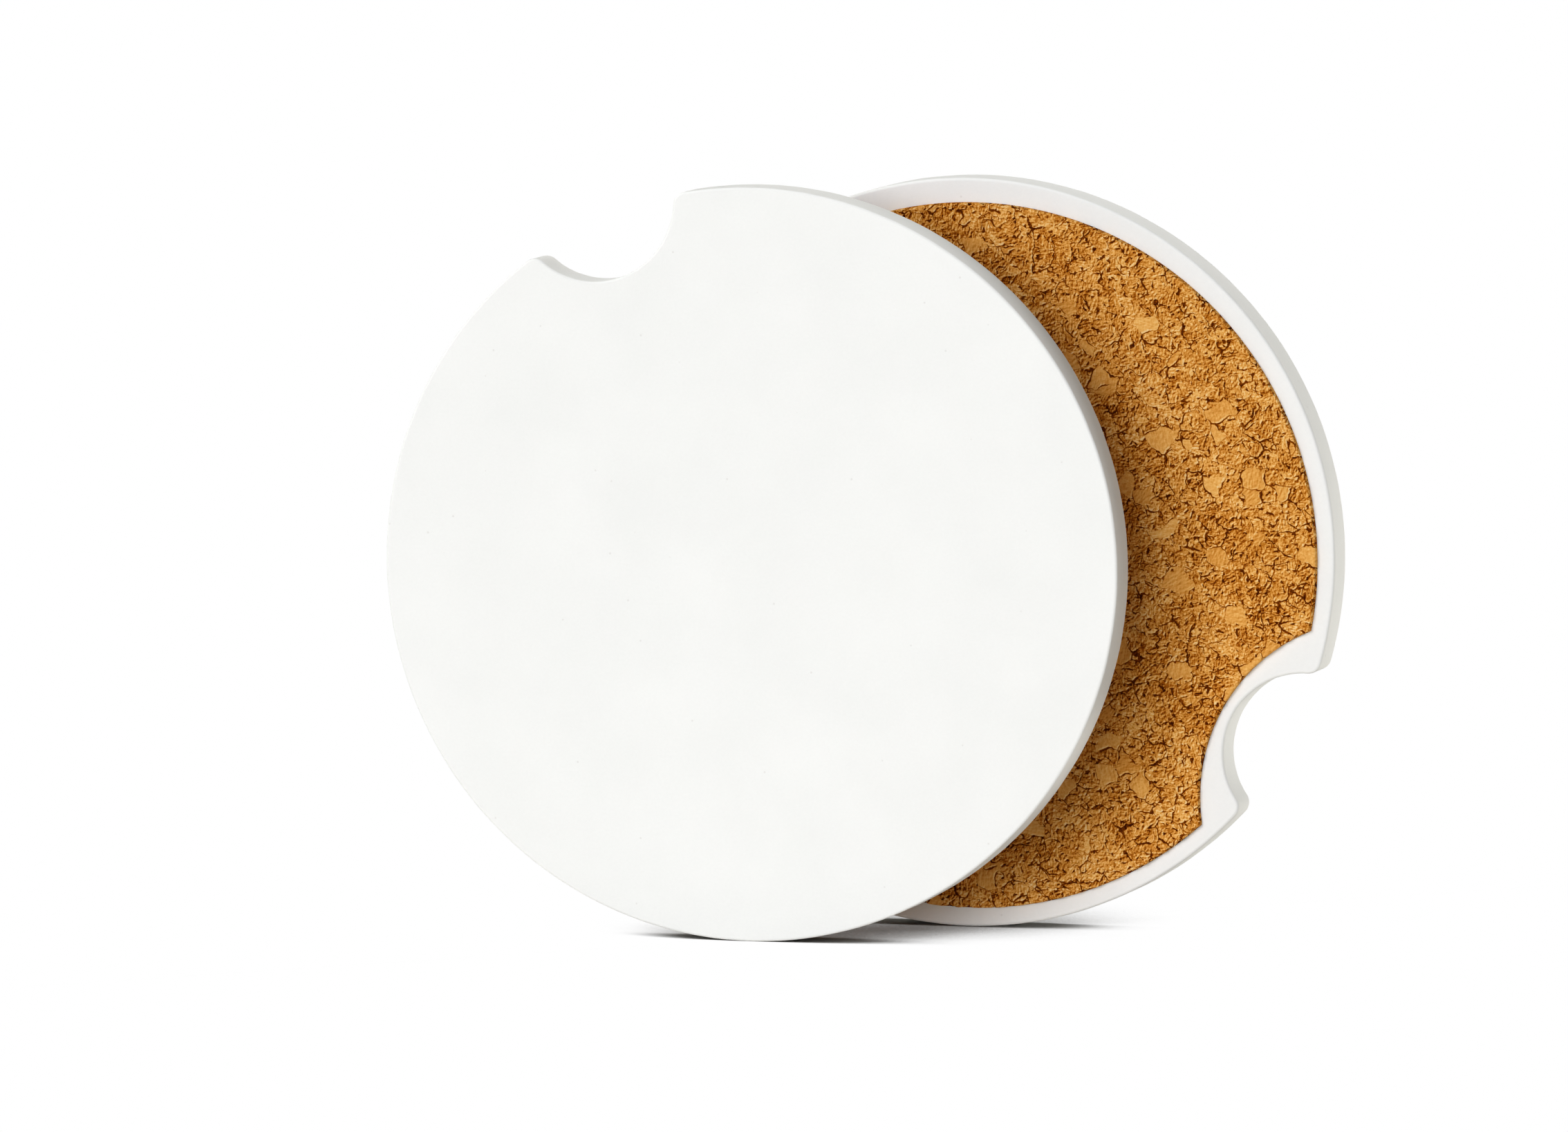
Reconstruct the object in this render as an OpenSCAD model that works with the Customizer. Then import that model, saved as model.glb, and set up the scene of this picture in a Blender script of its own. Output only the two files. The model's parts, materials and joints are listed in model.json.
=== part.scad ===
// A pair of car coasters standing on edge, the front one showing its cup face and the rear one its cork pad.
// +Z is up, the cup face of the front coaster looks along -Y, and the surface they stand on is Z = 0.

/* [Tile] */
// Diameter of the ceramic tile
tile_d = 66; // [56:0.5:90]
// Thickness of the ceramic tile
tile_t = 4.2; // [3:0.1:9]
// Radius on the tile's edge at the cup face
face_edge_r = 0.25; // [0.15:0.05:1]
// Radius on the tile's edge at the cork side
back_edge_r = 0.3; // [0.15:0.05:1]

/* [Finger notch] */
// Radius of the finger notch
notch_r = 7.2; // [6:0.1:10]
// Depth of the notch, from the rim to its deepest point
notch_depth = 5.5; // [3:0.1:6]
// Radius of the two corners where the notch meets the rim, added to the larger edge radius
notch_corner_extra = 0.9; // [0.2:0.05:1.5]

/* [Cork pad] */
// Thickness of the cork pad
pad_t = 0.6; // [0.4:0.05:4]
// Bare border of tile around the pad
pad_border = 1.9; // [1.5:0.1:5]
// Radius of the shallow arc cut out of the pad beside the notch
relief_r = 16; // [12:0.5:25]
// Bare border between the notch and that arc, at its narrowest
relief_border = 1; // [0.6:0.1:4]
// How far the pad sits off the tile's centre, towards the notch
pad_offset = 0.45; // [0:0.05:0.8]

/* [Adhesive film] */
// Thickness of the adhesive film between the tile and the pad
film_t = 0.1; // [0.05:0.05:0.4]
// How far the film stops short of the pad's edge
film_inset = 0.25; // [0:0.05:1]

/* [Pair] */
// Direction of the front coaster's notch, in degrees from +X towards +Z
front_notch_turn = 114; // [95:0.5:200]
// Direction of the rear coaster's notch, in degrees from +X towards +Z
rear_notch_turn = -29.5; // [-45:0.5:60]
// How far the rear coaster stands to the right of the front one
pair_step = 15.5; // [0:0.1:40]
// Air between the two cork pads
pair_gap = 10.7; // [3:0.1:30]

/* [Hidden] */
$fn = 96;

ceramic_white = "#f4f4f2";
film_amber = "#cdb98a";
cork_brown = "#b9823d";

tile_r = tile_d / 2;
coaster_t = tile_t + film_t + pad_t;
pair_depth = 2 * coaster_t + pair_gap;

// Each coaster is drawn lying on its cup face, with its notch towards +X.
notch_floor_x = tile_r - notch_depth;
notch_x = notch_floor_x + notch_r;
cut_over = 1;

// A corner's round lies a hair inside the rim and the notch, so that it meets them in a clean edge.
corner_step = 0.02;
corner_r = max(face_edge_r, back_edge_r) + notch_corner_extra;
corner_reach = tile_r - corner_r;
corner_to_notch = notch_r + corner_r;
corner_turn = acos((corner_reach ^ 2 + notch_x ^ 2 - corner_to_notch ^ 2) / (2 * corner_reach * notch_x));
corner_x = corner_reach * cos(corner_turn);
corner_y = corner_reach * sin(corner_turn);
corner_to_notch_turn = atan2(-corner_y, notch_x - corner_x);

pad_r = tile_r - pad_border;
relief_x = notch_floor_x - relief_border + relief_r;

// What rounding takes off an edge that stands at [r, 0], between a face along X and a wall along Y
module edge_waste(r) {
    difference() {
        translate([0, -cut_over])
            square(r + cut_over);
        translate([0, r])
            circle(r);
    }
}

// Section of a disc, from its axis out to r, with both of the tile's edges rounded
module disc_section(r) {
    difference() {
        square([r, tile_t]);
        translate([r - face_edge_r, 0])
            edge_waste(face_edge_r);
        translate([r - back_edge_r, tile_t])
            mirror([0, 1])
                edge_waste(back_edge_r);
    }
}

// Section of the notch, which takes the same rounding off the tile's edges there
module notch_section() {
    translate([0, -cut_over])
        square([notch_r, tile_t + 2 * cut_over]);
    translate([notch_r + face_edge_r, 0])
        mirror([1, 0])
            edge_waste(face_edge_r);
    translate([notch_r + back_edge_r, tile_t])
        rotate(180)
            edge_waste(back_edge_r);
}

// The sharp corner between the rim and the notch, as far as its round replaces it
module corner_wedge() {
    rim_way = [cos(corner_turn), sin(corner_turn)] * notch_r;
    notch_way = [cos(corner_to_notch_turn), sin(corner_to_notch_turn)] * notch_r;
    translate([corner_x, corner_y, -cut_over])
        linear_extrude(tile_t + 2 * cut_over)
            polygon([[0, 0], notch_way, notch_way + rim_way, rim_way]);
}

module corner_round() {
    translate([corner_x, corner_y, 0])
        rotate_extrude()
            disc_section(corner_r - corner_step);
}

// The ceramic tile: a disc with rounded edges and a finger notch
module tile() {
    difference() {
        rotate_extrude()
            disc_section(tile_r);
        translate([notch_x, 0, 0])
            rotate_extrude()
                notch_section();
        corner_wedge();
        mirror([0, 1, 0])
            corner_wedge();
    }
    corner_round();
    mirror([0, 1, 0])
        corner_round();
}

// A die-cut sheet of the pad's outline, smaller all round by inset
module pad_sheet(z, t, inset) {
    translate([0, 0, z])
        difference() {
            translate([pad_offset, 0, 0])
                cylinder(h = t, r = pad_r - inset);
            translate([relief_x, 0, -cut_over])
                cylinder(h = t + 2 * cut_over, r = relief_r + inset);
        }
}

module adhesive_film() {
    pad_sheet(tile_t, film_t, film_inset);
}

module cork_pad() {
    pad_sheet(tile_t + film_t, pad_t, 0);
}

// Stands a coaster on edge as the front one, with its cup face towards -Y
module place_front() {
    translate([-pair_step / 2, -pair_depth / 2, tile_r])
        rotate([-90, 0, 0])
            rotate(-front_notch_turn)
                children();
}

// Stands a coaster on edge as the rear one, with its cork pad towards -Y
module place_rear() {
    translate([pair_step / 2, pair_depth / 2, tile_r])
        rotate([90, 0, 0])
            rotate(rear_notch_turn)
                children();
}

module front_tile() {
    color(ceramic_white)
        place_front()
            tile();
}

module front_adhesive_film() {
    color(film_amber)
        place_front()
            adhesive_film();
}

module front_cork_pad() {
    color(cork_brown)
        place_front()
            cork_pad();
}

module rear_tile() {
    color(ceramic_white)
        place_rear()
            tile();
}

module rear_adhesive_film() {
    color(film_amber)
        place_rear()
            adhesive_film();
}

module rear_cork_pad() {
    color(cork_brown)
        place_rear()
            cork_pad();
}

front_tile();
front_adhesive_film();
front_cork_pad();
rear_tile();
rear_adhesive_film();
rear_cork_pad();
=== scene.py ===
# A pair of car coasters on edge: two notched ceramic discs, each with a cork pad stuck to its back.
import json
import math

import bmesh
import bpy
from mathutils import Matrix, Vector, noise


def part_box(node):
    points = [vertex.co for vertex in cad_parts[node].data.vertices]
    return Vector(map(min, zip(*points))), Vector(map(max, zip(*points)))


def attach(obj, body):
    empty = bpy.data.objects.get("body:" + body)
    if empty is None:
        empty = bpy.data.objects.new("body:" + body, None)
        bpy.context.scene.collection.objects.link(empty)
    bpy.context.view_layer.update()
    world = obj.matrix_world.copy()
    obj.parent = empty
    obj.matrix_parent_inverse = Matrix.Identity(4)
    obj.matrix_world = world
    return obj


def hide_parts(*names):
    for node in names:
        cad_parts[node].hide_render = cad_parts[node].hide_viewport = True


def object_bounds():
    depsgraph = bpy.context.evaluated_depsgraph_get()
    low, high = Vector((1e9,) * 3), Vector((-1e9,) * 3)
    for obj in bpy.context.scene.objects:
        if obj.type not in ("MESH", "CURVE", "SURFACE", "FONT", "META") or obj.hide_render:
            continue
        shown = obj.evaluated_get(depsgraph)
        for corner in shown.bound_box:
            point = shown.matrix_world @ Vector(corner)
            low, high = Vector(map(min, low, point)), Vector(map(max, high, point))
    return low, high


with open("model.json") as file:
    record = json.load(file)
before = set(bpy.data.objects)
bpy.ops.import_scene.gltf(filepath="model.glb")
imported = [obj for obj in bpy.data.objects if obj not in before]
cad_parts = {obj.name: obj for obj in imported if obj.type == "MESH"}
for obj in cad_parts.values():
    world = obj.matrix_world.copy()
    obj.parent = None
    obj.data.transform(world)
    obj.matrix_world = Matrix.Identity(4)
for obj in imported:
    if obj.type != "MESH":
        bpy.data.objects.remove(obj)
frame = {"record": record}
cad_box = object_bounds()
scene = bpy.context.scene
scene.view_settings.view_transform = "Standard"

# The camera stands a little to the right and a little above, far back behind a long lens,
# and looks at a point left of the pair, so that the pair sits right of the picture's middle.
MM = 0.001
SENSOR_W = 36.0
PICTURE_W = 2268
PIXELS_PER_MM = 16.52
camera_turn = math.radians(15.2)
camera_rise = math.radians(5.4)
camera_away = 1500 * MM
aim_left = 7.15 * MM
aim_low = 0.81 * MM

low, high = cad_box
pair_middle = (Vector(low) + Vector(high)) / 2
camera_way = Vector((
    math.sin(camera_turn) * math.cos(camera_rise),
    -math.cos(camera_turn) * math.cos(camera_rise),
    math.sin(camera_rise)))
camera_pose = camera_way.to_track_quat("Z", "Y")
camera_right = camera_pose @ Vector((1, 0, 0))
camera_up = camera_pose @ Vector((0, 1, 0))

camera = bpy.data.objects.new("camera", bpy.data.cameras.new("camera"))
camera.data.sensor_width = SENSOR_W
camera.data.lens = PIXELS_PER_MM * (camera_away / MM) * SENSOR_W / PICTURE_W
camera.location = pair_middle + camera_way * camera_away - camera_right * aim_left - camera_up * aim_low
camera.rotation_mode = "QUATERNION"
camera.rotation_quaternion = camera_pose
scene.collection.objects.link(camera)
scene.camera = camera


# The coasters stand on a plain white surface that runs on out of sight and scatters light like paper. The
# camera sees it as clean white, except where the coasters close it in both to the left and to the right.
class Wire:
    """One output in a node tree. Arithmetic on it adds Math nodes to that tree."""

    def __init__(self, tree, socket=None):
        self.tree = tree
        self.socket = socket

    def node(self, kind, settings=None, inputs=None, out=0):
        """An output of a new node that has these settings and inputs"""
        made = self.tree.nodes.new(kind)
        settings = dict(settings or {})
        stops = settings.pop("stops", [])
        for name, value in settings.items():
            setattr(made, name, value)
        for index, (position, colour) in enumerate(stops):
            ramp = made.color_ramp.elements
            stop = ramp[index] if index < len(ramp) else ramp.new(position)
            stop.position = position
            stop.color = colour
        for key, value in (inputs or {}).items():
            if isinstance(value, Wire):
                self.tree.links.new(value.socket, made.inputs[key])
            else:
                made.inputs[key].default_value = value
        return Wire(self.tree, made.outputs[out] if len(made.outputs) else None)

    def also(self, out):
        """Another output of the same node"""
        return Wire(self.tree, self.socket.node.outputs[out])

    def maths(self, operation, *values):
        return self.node("ShaderNodeMath", {"operation": operation}, dict(enumerate(values)))

    def vector(self, operation, *values):
        return self.node("ShaderNodeVectorMath", {"operation": operation}, dict(enumerate(values)))

    def mix(self, first, second):
        """A colour: the first where this is 0, the second where it is 1"""
        return self.node("ShaderNodeMix", {"data_type": "RGBA"}, {0: self, 6: first, 7: second}, out=2)

    def step(self, start, end, shape="SMOOTHSTEP"):
        """0 before start and 1 beyond end, with a step of that shape between"""
        return self.node(
            "ShaderNodeMapRange", {"interpolation_type": shape},
            {"Value": self, "From Min": start, "From Max": end})

    def __add__(self, other):
        return self.maths("ADD", self, other)

    def __sub__(self, other):
        return self.maths("SUBTRACT", self, other)

    def __rsub__(self, other):
        return self.maths("SUBTRACT", other, self)

    def __mul__(self, other):
        return self.maths("MULTIPLY", self, other)

    def __gt__(self, other):
        return self.maths("GREATER_THAN", self, other)

    __radd__ = __add__
    __rmul__ = __mul__


def new_material(name):
    """An empty material and the start of its node tree"""
    material = bpy.data.materials.new(name)
    material.use_nodes = True
    material.node_tree.nodes.clear()
    return material, Wire(material.node_tree)


def link_piece(name, bm, material):
    """An object at the origin that holds the finished mesh"""
    mesh = bpy.data.meshes.new(name)
    bm.to_mesh(mesh)
    bm.free()
    mesh.materials.append(material)
    piece = bpy.data.objects.new(name, mesh)
    scene.collection.objects.link(piece)
    return piece


def seen_by_camera(wire):
    """1 on rays that show the background itself: straight, mirrored or through something clear"""
    straight = wire.node("ShaderNodeLightPath", out="Is Camera Ray")
    seen = straight + straight.also("Is Glossy Ray") + straight.also("Is Transmission Ray")
    return seen.maths("MINIMUM", seen, 1.0)


surface_reach = 8.0
surface_white = (0.84, 0.82, 0.77, 1)
surface_shade = (0.22, 0.215, 0.205, 1)
shade_reach = 40 * MM
left_way = {"X": -0.6, "Y": -0.45, "Z": 0.66}
left_steps = (0.41, 0.65)
right_way = {"X": 0.8, "Y": -0.35, "Z": 0.5}
right_steps = (0.57, 0.8)


def open_to(wire, way, steps):
    """How far a place on the surface lies open that way, from 0 to 1"""
    normal = wire.node("ShaderNodeCombineXYZ", None, way)
    free = wire.node(
        "ShaderNodeAmbientOcclusion", None, {"Distance": shade_reach, "Normal": normal}, out="AO")
    return free.step(*steps)


surface_material, wire = new_material("white_surface")
seen = seen_by_camera(wire)
paper = wire.node("ShaderNodeBsdfDiffuse", None, {"Color": seen.mix(surface_white, surface_shade)})
white = wire.node("ShaderNodeEmission", None, {"Strength": 1.0})
bare = wire.maths("MAXIMUM", open_to(wire, left_way, left_steps), open_to(wire, right_way, right_steps))
lit = wire.node("ShaderNodeMixShader", None, {0: seen * bare, 1: paper, 2: white})
wire.node("ShaderNodeOutputMaterial", None, {"Surface": lit})

bm = bmesh.new()
bmesh.ops.create_grid(bm, x_segments=1, y_segments=1, size=surface_reach)
bmesh.ops.translate(bm, verts=bm.verts, vec=(0, 0, low[2]))
link_piece("white_surface", bm, surface_material)

# The light is that of a product table: a dim white tent, a broad lamp in front that lights the faces and
# leaves the gap between the discs in shade, and a lamp behind and one above that light the rims.
tent_level = 0.05
front_level = 2.44
front_spread = 35
front_way = (-0.1, -1, 0.24)
back_level = 3.4
back_spread = 24
back_way = (0.57, 0.82, 0.05)
top_level = 1.85
top_spread = 40
top_way = (-0.5, 0.1, 0.85)
cool_white = (0.96, 0.97, 1)
warm_white = (1, 0.985, 0.94)

world = bpy.data.worlds.new("white_tent")
world.use_nodes = True
world.node_tree.nodes.clear()
scene.world = world
wire = Wire(world.node_tree)
sky_level = tent_level + seen_by_camera(wire) * (1 - tent_level)
sky = wire.node("ShaderNodeBackground", None, {"Strength": sky_level})
wire.node("ShaderNodeOutputWorld", None, {"Surface": sky})

for name, level, spread, way, tint in (
        ("front_lamp", front_level, front_spread, front_way, cool_white),
        ("back_lamp", back_level, back_spread, back_way, warm_white),
        ("top_lamp", top_level, top_spread, top_way, warm_white)):
    lamp = bpy.data.objects.new(name, bpy.data.lights.new(name, "SUN"))
    lamp.data.energy = level
    lamp.data.color = tint
    lamp.data.angle = math.radians(spread)
    lamp.rotation_mode = "QUATERNION"
    lamp.rotation_quaternion = Vector(way).to_track_quat("Z", "Y")
    scene.collection.objects.link(lamp)

# The tiles are pressed from white clay and fired unglazed, matte and a little chalky. Each is a disc
# with two crisp edges, barely rounded, and a notch for a fingertip.
face_edge_r = 0.25 * MM
back_edge_r = 0.3 * MM
notch_r = 7.2 * MM
corner_r = 1.2 * MM
rim_steps = 260
notch_steps = 40
corner_steps = 12
edge_segments = 8
flat_border = 0.2 * MM
arris_wander = 0.025 * MM
arris_wave = 2.2 * MM
same_place = 0.01 * MM
openings = {o["name"]: o["box_m"] for o in frame["record"]["physics"]["openings"]}


def notch_place(side):
    """How far the notch's centre lies from the coaster's axis, and its direction from +X towards +Z"""
    tile_low, tile_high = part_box(side + "_tile")
    axis = (tile_low + tile_high) / 2
    corners = [Vector(corner) for corner in openings[side + "_finger_notch"]]
    away = (corners[0] + corners[1]) / 2 - axis
    return math.hypot(away.x, away.z), math.atan2(away.z, away.x)


def standing(side):
    """Stands a coaster, drawn lying on its cup face with its notch towards +X, where the frame has it"""
    tile_low, tile_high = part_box(side + "_tile")
    axis = (tile_low + tile_high) / 2
    turn = notch_place(side)[1]
    if side == "front":
        place = Matrix.Translation((axis.x, tile_low.y, axis.z))
        return place @ Matrix.Rotation(math.radians(-90), 4, "X") @ Matrix.Rotation(-turn, 4, "Z")
    place = Matrix.Translation((axis.x, tile_high.y, axis.z))
    return place @ Matrix.Rotation(math.radians(90), 4, "X") @ Matrix.Rotation(turn, 4, "Z")


def arc(bm, vert, centre, angle, steps):
    """Draws an arc of edges from vert about centre, and returns its last vertex"""
    spun = bmesh.ops.spin(
        bm, geom=[vert], cent=(*centre, 0), axis=(0, 0, 1), angle=angle, steps=steps, use_duplicate=False)
    return next(v for v in spun["geom_last"] if isinstance(v, bmesh.types.BMVert))


def edges_at(bm, height):
    """The edges that lie at one height"""
    return [e for e in bm.edges if all(abs(v.co.z - height) < same_place for v in e.verts)]


def tile_bmesh(side):
    """A tile, drawn lying on its cup face and then stood in its place"""
    tile_low, tile_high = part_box(side + "_tile")
    tile_r = (tile_high.z - tile_low.z) / 2
    tile_t = tile_high.y - tile_low.y
    notch_x = notch_place(side)[0]

    # The rim runs round from one corner of the notch to the other, and the notch closes it.
    reach = tile_r - corner_r
    corner_turn = math.acos((reach**2 + notch_x**2 - (notch_r + corner_r) ** 2) / (2 * reach * notch_x))
    corner_x = reach * math.cos(corner_turn)
    corner_y = reach * math.sin(corner_turn)
    notch_turn = math.atan2(corner_y, notch_x - corner_x)
    bm = bmesh.new()
    vert = bm.verts.new((tile_r * math.cos(corner_turn), tile_r * math.sin(corner_turn), 0))
    vert = arc(bm, vert, (0, 0), 2 * (math.pi - corner_turn), rim_steps)
    vert = arc(bm, vert, (corner_x, -corner_y), corner_turn + notch_turn, corner_steps)
    vert = arc(bm, vert, (notch_x, 0), -2 * notch_turn, notch_steps)
    arc(bm, vert, (corner_x, corner_y), corner_turn + notch_turn, corner_steps)
    bmesh.ops.remove_doubles(bm, verts=bm.verts, dist=same_place)

    # The outline becomes a disc, and its two edges are rounded.
    bmesh.ops.edgeloop_fill(bm, edges=bm.edges)
    raised = bmesh.ops.extrude_face_region(bm, geom=bm.faces[:], use_keep_orig=True)
    upper = [v for v in raised["geom"] if isinstance(v, bmesh.types.BMVert)]
    bmesh.ops.translate(bm, verts=upper, vec=(0, 0, tile_t))
    for height, radius in ((0, face_edge_r), (tile_t, back_edge_r)):
        bmesh.ops.bevel(
            bm, geom=edges_at(bm, height), offset=radius, affect="EDGES", segments=edge_segments,
            profile=0.5, material=-1, clamp_overlap=False)
    bmesh.ops.recalc_face_normals(bm, faces=bm.faces)

    # A pressed edge wanders a few hundredths of a millimetre.
    bm.normal_update()
    for v in bm.verts:
        wander = noise.noise(v.co / arris_wave) * arris_wander
        v.co += v.normal * wander * math.hypot(v.normal.x, v.normal.y)
    caps = sorted(bm.faces, key=lambda f: f.calc_area())[-2:]
    bmesh.ops.inset_individual(bm, faces=caps, thickness=flat_border, use_even_offset=True)
    for face in bm.faces:
        face.smooth = True
    bm.transform(standing(side))
    return bm


ceramic_white = (0.895, 0.90, 0.885, 1)
ceramic_grey = (0.860, 0.867, 0.852, 1)
ceramic_pore = (0.70, 0.69, 0.67, 1)
clouds_per_m = 120.0
chalk_per_m = 4200.0
chalk_share = 0.4
patch_steps = (0.35, 0.65)
pores_per_m = 420.0
pore_steps = (0.05, 0.03)
# How much darker the pores are drawn than the clay around them.
pore_darkening = 0.5
pore_depth = 0.8
chalk_depth = 0.03 * MM
chalk_strength = 0.25
tile_roughness = 0.8
chalk_roughness = 0.16
tile_gloss = 0.12

ceramic, wire = new_material("unglazed_ceramic")
place = wire.node("ShaderNodeTexCoord", out="Object")
cloud = wire.node("ShaderNodeTexNoise", None, {"Vector": place, "Scale": clouds_per_m, "Detail": 3.0})
chalk = wire.node(
    "ShaderNodeTexNoise", None, {"Vector": place, "Scale": chalk_per_m, "Detail": 3.0, "Roughness": 0.6})
pore = wire.node("ShaderNodeTexVoronoi", None, {"Vector": place, "Scale": pores_per_m})
pore = pore.step(*pore_steps, "LINEAR")
patch = (cloud * (1 - chalk_share) + chalk * chalk_share).step(*patch_steps, "LINEAR")
colour = (pore * pore_darkening).mix(patch.mix(ceramic_grey, ceramic_white), ceramic_pore)
bump = wire.node("ShaderNodeBump", None, {
    "Height": chalk - pore * pore_depth, "Strength": chalk_strength, "Distance": chalk_depth})
shader = wire.node("ShaderNodeBsdfPrincipled", None, {
    "Base Color": colour, "Roughness": tile_roughness + chalk * chalk_roughness,
    "Specular IOR Level": tile_gloss, "Normal": bump})
wire.node("ShaderNodeOutputMaterial", None, {"Surface": shader})

for side in ("front", "rear"):
    tile = link_piece(side + "_ceramic_tile", tile_bmesh(side), ceramic)
    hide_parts(side + "_tile")
    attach(tile, side + "_coaster")

# The adhesive film is a transfer tape as thin as paper, cut together with the pad and a hair smaller.
# It shows only as a dark amber line under the pad's edge.
relief_r = 16.0 * MM
relief_border = 1.0 * MM
film_cells = 48


def depths(side, node):
    """From where to where a node reaches, measured from the cup face"""
    node_low, node_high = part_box(side + node)
    tile_low, tile_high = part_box(side + "_tile")
    if side == "front":
        return node_low.y - tile_low.y, node_high.y - tile_low.y
    return tile_high.y - node_high.y, tile_high.y - node_low.y


def sheet_bmesh(side, node, cells):
    """A square net drawn out to a sheet's outline: a disc with a shallow arc cut from it"""
    sheet_low, sheet_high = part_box(side + node)
    pad_low, pad_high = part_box(side + "_cork_pad")
    tile_low, tile_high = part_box(side + "_tile")
    sheet_r = (sheet_high.z - sheet_low.z) / 2
    inset = (pad_high.z - pad_low.z) / 2 - sheet_r
    off = (sheet_low + sheet_high - tile_low - tile_high) / 2
    offset = math.hypot(off.x, off.z)
    arc_r = relief_r + inset
    arc_away = notch_place(side)[0] - notch_r - relief_border + relief_r - offset
    bm = bmesh.new()
    bmesh.ops.create_grid(bm, x_segments=cells, y_segments=cells, size=1)
    for v in bm.verts:
        x, y = v.co.x, v.co.y
        if abs(x) > abs(y):
            ring, turn = x, math.pi / 4 * y / x
        else:
            ring, turn = y, math.pi / 2 - math.pi / 4 * x / (y or 1)
        way = Vector((math.cos(turn), math.sin(turn), 0)) * math.copysign(1, ring)
        reach = sheet_r
        if way.x > 0 and abs(arc_away * way.y) < arc_r:
            reach = min(sheet_r, arc_away * way.x - math.sqrt(arc_r**2 - (arc_away * way.y) ** 2))
        v.co = way * abs(ring) * reach + Vector((offset, 0, 0))
    return bm


def sheet_wall(bm, steps):
    """Draws the sheet's edge down by each step in turn, and closes it below"""
    for step in steps:
        drawn = bmesh.ops.extrude_edge_only(bm, edges=[e for e in bm.edges if e.is_boundary])
        lowest = [v for v in drawn["geom"] if isinstance(v, bmesh.types.BMVert)]
        bmesh.ops.translate(bm, verts=lowest, vec=(0, 0, -step))
    bmesh.ops.edgeloop_fill(bm, edges=[e for e in bm.edges if e.is_boundary])
    bmesh.ops.recalc_face_normals(bm, faces=bm.faces)


film_amber = (0.42, 0.24, 0.08, 1)
film_pale = (0.62, 0.42, 0.18, 1)
smears_per_m = 700.0
smear_depth = 0.05 * MM
smear_strength = 0.3
film_roughness = 0.25
smear_roughness = 0.2

adhesive, wire = new_material("transfer_adhesive")
place = wire.node("ShaderNodeTexCoord", out="Object")
smear = wire.node("ShaderNodeTexNoise", None, {"Vector": place, "Scale": smears_per_m, "Detail": 3.0})
bump = wire.node(
    "ShaderNodeBump", None, {"Height": smear, "Strength": smear_strength, "Distance": smear_depth})
shader = wire.node("ShaderNodeBsdfPrincipled", None, {
    "Base Color": smear.mix(film_amber, film_pale),
    "Roughness": film_roughness + smear * smear_roughness, "Normal": bump})
wire.node("ShaderNodeOutputMaterial", None, {"Surface": shader})

for side in ("front", "rear"):
    near, far = depths(side, "_adhesive_film")
    bm = sheet_bmesh(side, "_adhesive_film", film_cells)
    sheet_wall(bm, [far - near])
    bmesh.ops.translate(bm, verts=bm.verts, vec=(0, 0, far))
    bm.transform(standing(side))
    film = link_piece(side + "_film", bm, adhesive)
    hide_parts(side + "_adhesive_film")
    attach(film, side + "_coaster")

# The pads are agglomerated cork: granules of bark pressed with a binder into a block and sliced, so the
# face shows cut granules of every size, pale smooth flakes, cracks between them and dark pits.
pad_cells = 256
pad_wall_steps = (0.08 * MM, 0.2 * MM)
grain_depth = 0.10 * MM
gap_depth = 0.16 * MM
cork_scale = (1 / MM, 0.5 / MM, 1 / MM)

# The pattern's own sizes are in millimetres. A bend has the size of its noise and how far that pushes, and
# a crack the length over which it opens and closes, the level of noise from which it opens, and its width.
granule_bends = ((2.4, 1.6), (0.5, 0.4))
flake_size = 1.7
flake_from = 0.92
flake_least_tone = 0.5
flake_lift = 0.8
grain_size = 0.8
long_crack = (1.2, 0.5, 0.28)
short_crack = (0.45, 0.55, 0.4)
pit_bend = (0.3, 0.3)
pit_size = 1.2
pit_from = 0.7
pit_width = 0.6
gap_steps = (-0.05, 0.03)


def cork_grain(place):
    """Pressed cork at a place given in millimetres: its tone, flakes, cracks and height, from 0 to 1 each"""

    def bent(start, size, amount):
        """A place pushed about by noise"""
        push = place.node(
            "ShaderNodeTexNoise", None, {"Vector": place, "Scale": 1 / size, "Detail": 1.0}, out="Color")
        centred = place.vector("SUBTRACT", push, (0.5, 0.5, 0.5))
        return place.vector("MULTIPLY_ADD", centred, (amount, amount, amount), start)

    granule_place = place
    for bend in granule_bends:
        granule_place = bent(granule_place, *bend)

    def granules(size):
        """Three random numbers for each granule, and the distance to its edge"""
        cells = {"Vector": granule_place, "Scale": 1 / size}
        lot = place.node("ShaderNodeTexVoronoi", None, cells, out="Color")
        edge = place.node("ShaderNodeTexVoronoi", {"feature": "DISTANCE_TO_EDGE"}, cells)
        return place.node("ShaderNodeSeparateXYZ", None, {"Vector": lot}), edge * size

    def crack(edge, run, start, width):
        """Above 0 in a crack that follows an edge, and opens and closes on its way"""
        opening = place.node("ShaderNodeTexNoise", None, {"Vector": place, "Scale": 1 / run, "Detail": 0.0})
        return (opening - start) * width - edge

    flake_lot, flake_edge = granules(flake_size)
    grain_lot, grain_edge = granules(grain_size)
    flake = flake_lot > flake_from
    flake_tone = flake_lot.also("Y") * (1 - flake_least_tone) + flake_least_tone
    grain_tone = grain_lot.also("Y")
    grain_lift = grain_lot.also("Z")
    tone = grain_tone + flake * (flake_tone - grain_tone)
    lift = grain_lift + flake * (flake_lift - grain_lift)

    long_gap = crack(flake_edge, *long_crack)
    short_gap = crack(grain_edge, *short_crack) - flake
    pit_cells = {"Vector": bent(place, *pit_bend), "Scale": 1 / pit_size}
    pit = place.node("ShaderNodeTexVoronoi", None, pit_cells)
    pit_lot = place.node("ShaderNodeSeparateXYZ", None, {"Vector": pit.also("Color")})
    pit_gap = (pit_lot - pit_from) * pit_width - pit * pit_size
    gap = place.maths("MAXIMUM", place.maths("MAXIMUM", long_gap, short_gap), pit_gap)
    return tone, flake, gap.step(*gap_steps), lift


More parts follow.
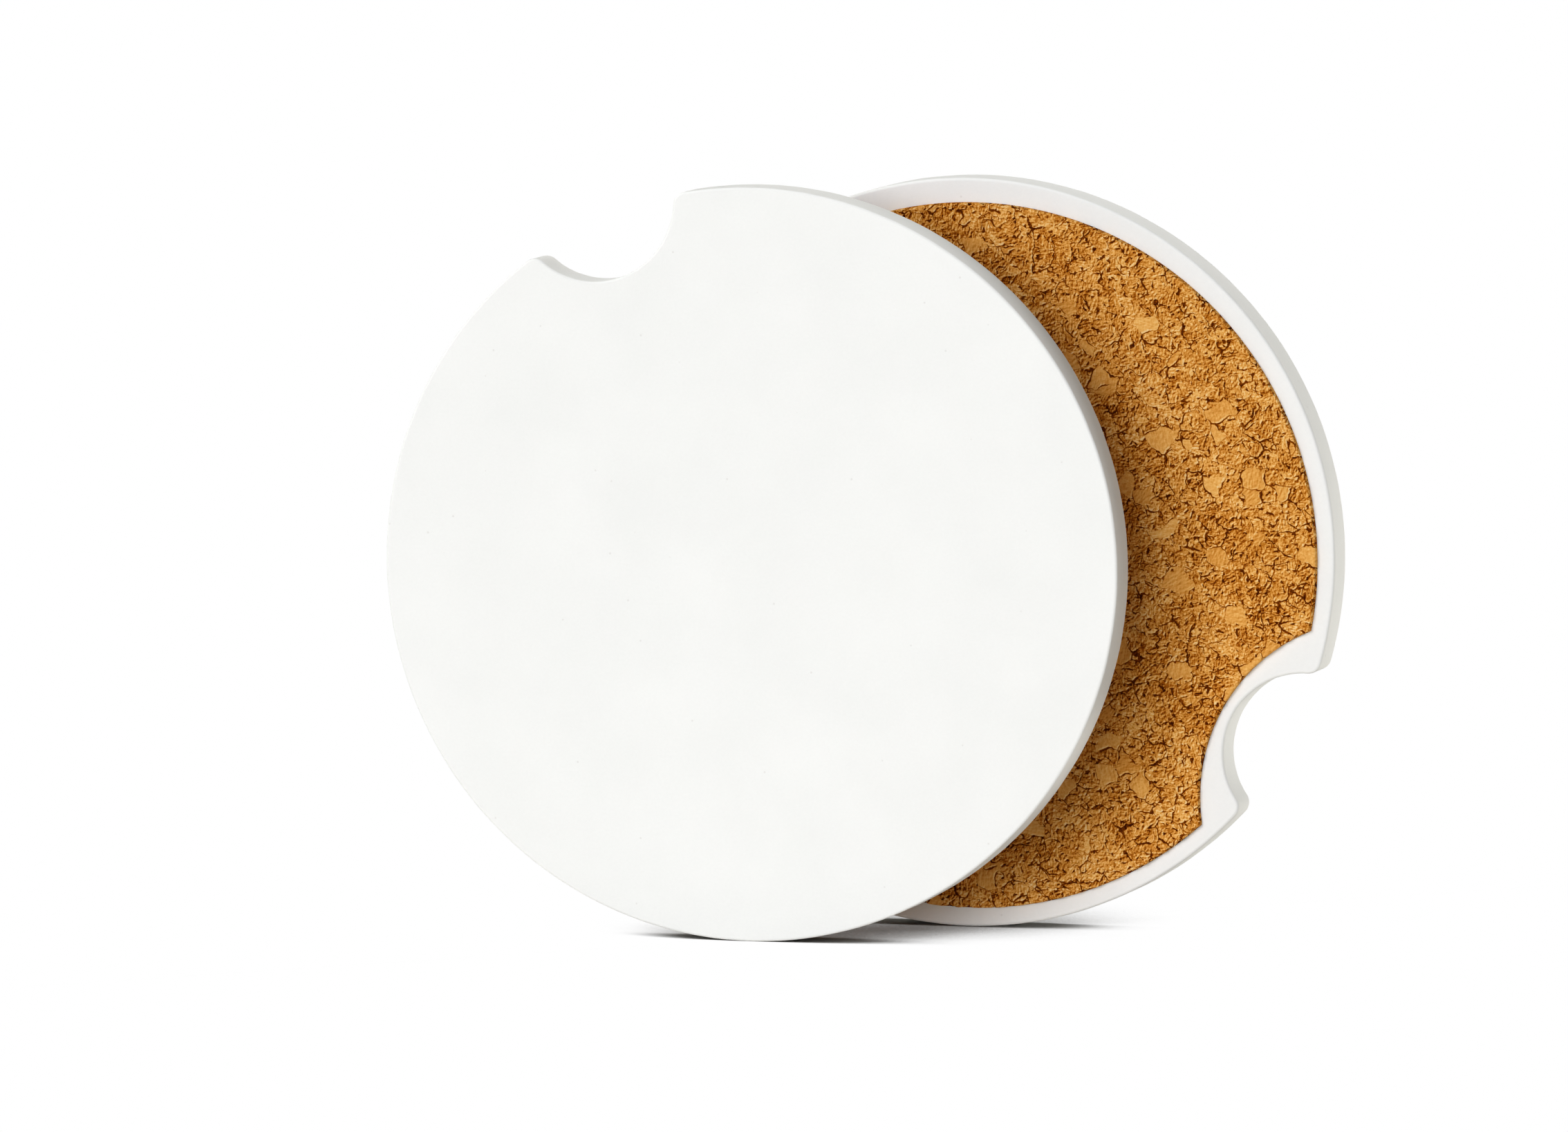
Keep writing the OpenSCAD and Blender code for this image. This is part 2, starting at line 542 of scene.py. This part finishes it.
relief = bpy.data.node_groups.new("cork_relief", "GeometryNodeTree")
relief.interface.new_socket("Geometry", in_out="INPUT", socket_type="NodeSocketGeometry")
relief.interface.new_socket("Geometry", in_out="OUTPUT", socket_type="NodeSocketGeometry")
wire = Wire(relief)
sheet = wire.node("NodeGroupInput")
place = wire.vector("MULTIPLY", wire.node("GeometryNodeInputPosition"), cork_scale)
broken, lift = cork_grain(place)[2:]
free = wire.node("GeometryNodeInputNamedAttribute", {"data_type": "FLOAT"}, {"Name": "free"})
height = ((lift - 1) * grain_depth - broken * gap_depth) * free
normal = wire.node("GeometryNodeInputNormal")
push = wire.node("ShaderNodeVectorMath", {"operation": "SCALE"}, {0: normal, "Scale": height})
carved = wire.node("GeometryNodeSetPosition", None, {"Geometry": sheet, "Offset": push})
wire.node("NodeGroupOutput", None, {"Geometry": carved})

cork_stops = (
    (0.05, (0.040, 0.005, 0.000, 1)),
    (0.22, (0.260, 0.052, 0.001, 1)),
    (0.36, (0.460, 0.148, 0.009, 1)),
    (0.50, (0.640, 0.265, 0.042, 1)),
    (0.64, (0.765, 0.375, 0.085, 1)),
    (0.78, (0.850, 0.490, 0.145, 1)),
    (0.92, (0.880, 0.620, 0.290, 1)))
tone_spread = 0.26
drift_size = 4.0
drift_spread = 0.3
flake_pale = 0.04
flake_smooth = 0.6
fibre_stretch = (1.8, 1.0, 5.5)
specks_per_mm = 4.0
fibre_spread = 0.5
# Painted highlight and shade that emboss the cork: the step to the place each spot is compared with, and
# their strengths.
emboss_step = (0.09, 0.0, -0.09)
painted_relief_strength = 1.3
lip_highlight_pale = 0.25
# How far cracks and pits are darkened: partly their own dark, partly painted shade in the gaps.
gap_dark_and_shade = 0.8
fibre_depth = 0.08 * MM
fibre_strength = 0.6
cork_roughness = 0.8
fibre_roughness = 0.1
cork_gloss = 0.03


def cork_fibre(place, tone):
    """The torn fibres on the cut granules, which lie another way for each tone"""
    turned = place.node(
        "ShaderNodeVectorRotate", {"rotation_type": "Y_AXIS"}, {"Vector": place, "Angle": tone * math.tau})
    fibres = place.vector("MULTIPLY", turned, fibre_stretch)
    streak = place.node("ShaderNodeTexNoise", None, {"Vector": fibres, "Scale": 1.0, "Detail": 2.0})
    speck = place.node("ShaderNodeTexNoise", None, {
        "Vector": place, "Scale": specks_per_mm, "Detail": 3.0, "Roughness": 0.6})
    return streak + speck


cork, wire = new_material("pressed_cork")
place = wire.vector("MULTIPLY", wire.node("ShaderNodeTexCoord", out="Object"), cork_scale)
tone, flake, broken = cork_grain(place)[:3]
fibre = cork_fibre(place, tone)

# Painted highlight and shade: a torn ridge is paler on the side facing up and towards -X, as is a crack's
# lip.
beside = wire.vector("ADD", place, emboss_step)
painted_relief_shading = cork_fibre(beside, tone) - fibre
painted_lip_highlight = cork_grain(beside)[2] * (1 - broken)
drift = wire.node("ShaderNodeTexNoise", None, {"Vector": place, "Scale": 1 / drift_size, "Detail": 2.0})
rough = 1 - flake * flake_smooth
pale = 0.5 + (tone - 0.5) * tone_spread + (drift - 0.5) * drift_spread + flake * flake_pale
# Painted highlight and shade on the fibres, and a painted highlight on the lips of cracks.
pale = pale + ((fibre - 1) * fibre_spread + painted_relief_shading * painted_relief_strength) * rough
# The cracks and pits are darkened: partly their own dark, partly painted shade in the gaps.
pale = (pale + painted_lip_highlight * lip_highlight_pale) * (1 - broken * gap_dark_and_shade)
colour = wire.node("ShaderNodeValToRGB", {"stops": cork_stops}, {"Fac": pale})
bump = wire.node(
    "ShaderNodeBump", None, {"Height": fibre - broken, "Strength": fibre_strength, "Distance": fibre_depth})
shader = wire.node("ShaderNodeBsdfPrincipled", None, {
    "Base Color": colour, "Roughness": cork_roughness + fibre * fibre_roughness,
    "Specular IOR Level": cork_gloss, "Normal": bump})
wire.node("ShaderNodeOutputMaterial", None, {"Surface": shader})

for side in ("front", "rear"):
    near, far = depths(side, "_cork_pad")
    bm = sheet_bmesh(side, "_cork_pad", pad_cells)
    last_step = far - near - sum(pad_wall_steps)
    sheet_wall(bm, [*pad_wall_steps, last_step])

    # The relief carves the face and the upper wall, and leaves the glued side flat.
    layer = bm.verts.layers.float.new("free")
    for v in bm.verts:
        v[layer] = float(v.co.z > near - far + last_step / 2)
    for face in bm.faces:
        face.smooth = True
    bmesh.ops.translate(bm, verts=bm.verts, vec=(0, 0, far))
    bm.transform(standing(side))
    pad = link_piece(side + "_cork", bm, cork)
    pad.modifiers.new("relief", "NODES").node_group = relief
    carved_pad = pad.evaluated_get(bpy.context.evaluated_depsgraph_get())
    pad.data = bpy.data.meshes.new_from_object(carved_pad)
    pad.modifiers.clear()
    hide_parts(side + "_cork_pad")
    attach(pad, side + "_coaster")
